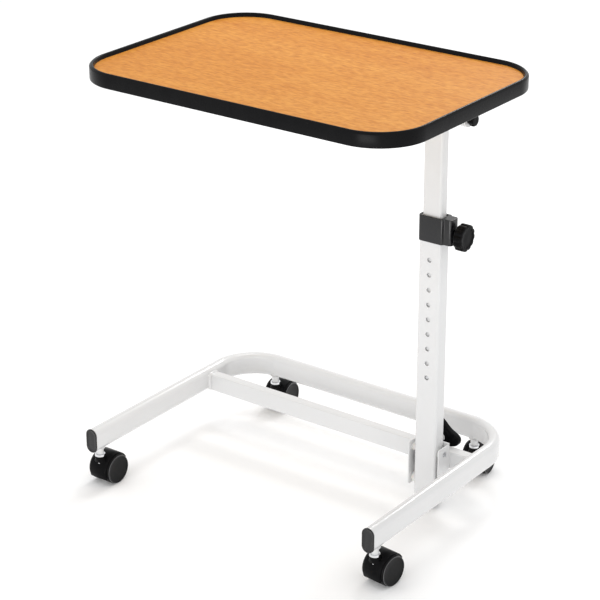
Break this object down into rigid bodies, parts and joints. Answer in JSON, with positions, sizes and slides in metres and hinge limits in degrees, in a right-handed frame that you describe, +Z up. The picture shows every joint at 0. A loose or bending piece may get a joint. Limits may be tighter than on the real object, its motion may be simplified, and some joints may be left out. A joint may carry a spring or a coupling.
{
  "type": "overbed table",
  "caption": "Height-adjustable tilting overbed table: wood-look top with raised black edge on a telescopic folding mast, U-shaped steel base on twin-wheel casters",
  "frame": {"origin": "on the floor at the middle of the footprint", "axes": "+X along the long side of the top towards the mast, +Y away from the user towards the closed back of the base, +Z up"},
  "size_m": [0.6, 0.456, 0.7143],
  "materials": {
    "white_coat": "satin",
    "black_plastic": "satin",
    "gloss_black": "gloss",
    "edge_rubber": "satin",
    "beech_laminate": "satin",
    "panel_core": "matte",
    "zinc_steel": "satin",
    "chrome": "gloss",
    "nylon": "satin",
    "wheel_plastic": "satin"
  },
  "bodies": {
    "base": {"base_tube": "white_coat", "crossbar": "white_coat", "end_caps": "black_plastic", "mast_bracket": "white_coat", "pivot_bolt": "zinc_steel", "pivot_nut": "zinc_steel", "guide_pads": "nylon", "guide_screws": "zinc_steel", "wing_boss": "white_coat", "caster_sockets": "white_coat", "caster_stems": "chrome"},
    "wing_knob": {"wing_knob": "black_plastic", "wing_screw": "zinc_steel"},
    "lower_mast": {"lower_mast_tube": "white_coat", "mast_foot_plug": "black_plastic", "pivot_sleeve": "zinc_steel", "pivot_washers": "nylon", "collar": "gloss_black", "collar_insert": "zinc_steel", "guide_bush": "nylon", "pressure_pad": "nylon"},
    "height_knob": {"height_knob": "black_plastic", "height_screw": "zinc_steel"},
    "upper_mast": {"upper_mast_tube": "white_coat", "slide_foot": "nylon", "head_tube": "white_coat", "head_plugs": "nylon", "button_spring": "zinc_steel"},
    "snap_button": {"snap_button": "zinc_steel"},
    "tabletop": {"tilt_bracket": "white_coat", "tilt_washers": "nylon", "tilt_bolt": "zinc_steel", "bracket_screws": "zinc_steel", "tabletop_panel": "panel_core", "top_laminate": "beech_laminate", "edge_rim": "edge_rubber"},
    "tilt_knob": {"tilt_knob": "black_plastic"},
    "caster_fl": {"caster_fl_body": "black_plastic", "caster_fl_axle": "zinc_steel"},
    "wheel_fl_l": {"caster_fl_wheel_l": "wheel_plastic"},
    "wheel_fl_r": {"caster_fl_wheel_r": "wheel_plastic"},
    "caster_fr": {"caster_fr_body": "black_plastic", "caster_fr_axle": "zinc_steel"},
    "wheel_fr_l": {"caster_fr_wheel_l": "wheel_plastic"},
    "wheel_fr_r": {"caster_fr_wheel_r": "wheel_plastic"},
    "caster_rl": {"caster_rl_body": "black_plastic", "caster_rl_axle": "zinc_steel"},
    "wheel_rl_l": {"caster_rl_wheel_l": "wheel_plastic"},
    "wheel_rl_r": {"caster_rl_wheel_r": "wheel_plastic"},
    "caster_rr": {"caster_rr_body": "black_plastic", "caster_rr_axle": "zinc_steel"},
    "wheel_rr_l": {"caster_rr_wheel_l": "wheel_plastic"},
    "wheel_rr_r": {"caster_rr_wheel_r": "wheel_plastic"}
  },
  "joints": [
    {"name": "mast_fold", "type": "hinge", "parent": "base", "child": "lower_mast", "pos_m": [0.198, 0.054, 0.0435], "axis": [-1, 0, 0], "range_deg": [-90, 0]},
    {"name": "wing_knob_turn", "type": "hinge", "parent": "base", "child": "wing_knob", "pos_m": [0.198, 0.1, 0.106], "axis": [0, 1, 0], "range_deg": [0, 360]},
    {"name": "height_slide", "type": "slide", "parent": "lower_mast", "child": "upper_mast", "axis": [0, 0, 1], "range_m": [0, 0.2]},
    {"name": "height_knob_turn", "type": "hinge", "parent": "lower_mast", "child": "height_knob", "pos_m": [0.25, 0.054, 0.4755], "axis": [1, 0, 0], "range_deg": [0, 360]},
    {"name": "snap_button_press", "type": "slide", "parent": "upper_mast", "child": "snap_button", "axis": [0, -1, 0], "range_m": [-0.0025, 0.0026], "stiffness_N_per_m": 400},
    {"name": "tabletop_tilt", "type": "hinge", "parent": "upper_mast", "child": "tabletop", "pos_m": [0.198, 0.054, 0.6645], "axis": [1, 0, 0], "range_deg": [-90, 60]},
    {"name": "tilt_knob_turn", "type": "hinge", "parent": "tabletop", "child": "tilt_knob", "pos_m": [0.26, 0.054, 0.6645], "axis": [1, 0, 0], "range_deg": [0, 360]},
    {"name": "caster_fl_swivel", "type": "hinge", "parent": "base", "child": "caster_fl", "pos_m": [-0.2735, -0.208, 0.045], "axis": [0, 0, 1], "continuous": true},
    {"name": "wheel_fl_l_roll", "type": "hinge", "parent": "caster_fl", "child": "wheel_fl_l", "pos_m": [-0.2735, -0.188, 0.025], "axis": [1, 0, 0], "continuous": true},
    {"name": "wheel_fl_r_roll", "type": "hinge", "parent": "caster_fl", "child": "wheel_fl_r", "pos_m": [-0.2735, -0.188, 0.025], "axis": [1, 0, 0], "continuous": true},
    {"name": "caster_fr_swivel", "type": "hinge", "parent": "base", "child": "caster_fr", "pos_m": [0.2735, -0.208, 0.045], "axis": [0, 0, 1], "continuous": true},
    {"name": "wheel_fr_l_roll", "type": "hinge", "parent": "caster_fr", "child": "wheel_fr_l", "pos_m": [0.27576, -0.18813, 0.025], "axis": [0.9936, -0.1132, 0], "continuous": true},
    {"name": "wheel_fr_r_roll", "type": "hinge", "parent": "caster_fr", "child": "wheel_fr_r", "pos_m": [0.27576, -0.18813, 0.025], "axis": [0.9936, -0.1132, 0], "continuous": true},
    {"name": "caster_rl_swivel", "type": "hinge", "parent": "base", "child": "caster_rl", "pos_m": [-0.206, 0.18077, 0.045], "axis": [0, 0, 1], "continuous": true},
    {"name": "wheel_rl_l_roll", "type": "hinge", "parent": "caster_rl", "child": "wheel_rl_l", "pos_m": [-0.20774, 0.20069, 0.025], "axis": [0.9962, 0.0872, 0], "continuous": true},
    {"name": "wheel_rl_r_roll", "type": "hinge", "parent": "caster_rl", "child": "wheel_rl_r", "pos_m": [-0.20774, 0.20069, 0.025], "axis": [0.9962, 0.0872, 0], "continuous": true},
    {"name": "caster_rr_swivel", "type": "hinge", "parent": "base", "child": "caster_rr", "pos_m": [0.206, 0.18077, 0.045], "axis": [0, 0, 1], "continuous": true},
    {"name": "wheel_rr_l_roll", "type": "hinge", "parent": "caster_rr", "child": "wheel_rr_l", "pos_m": [0.20322, 0.20058, 0.025], "axis": [0.9903, 0.1392, 0], "continuous": true},
    {"name": "wheel_rr_r_roll", "type": "hinge", "parent": "caster_rr", "child": "wheel_rr_r", "pos_m": [0.20322, 0.20058, 0.025], "axis": [0.9903, 0.1392, 0], "continuous": true}
  ]
}
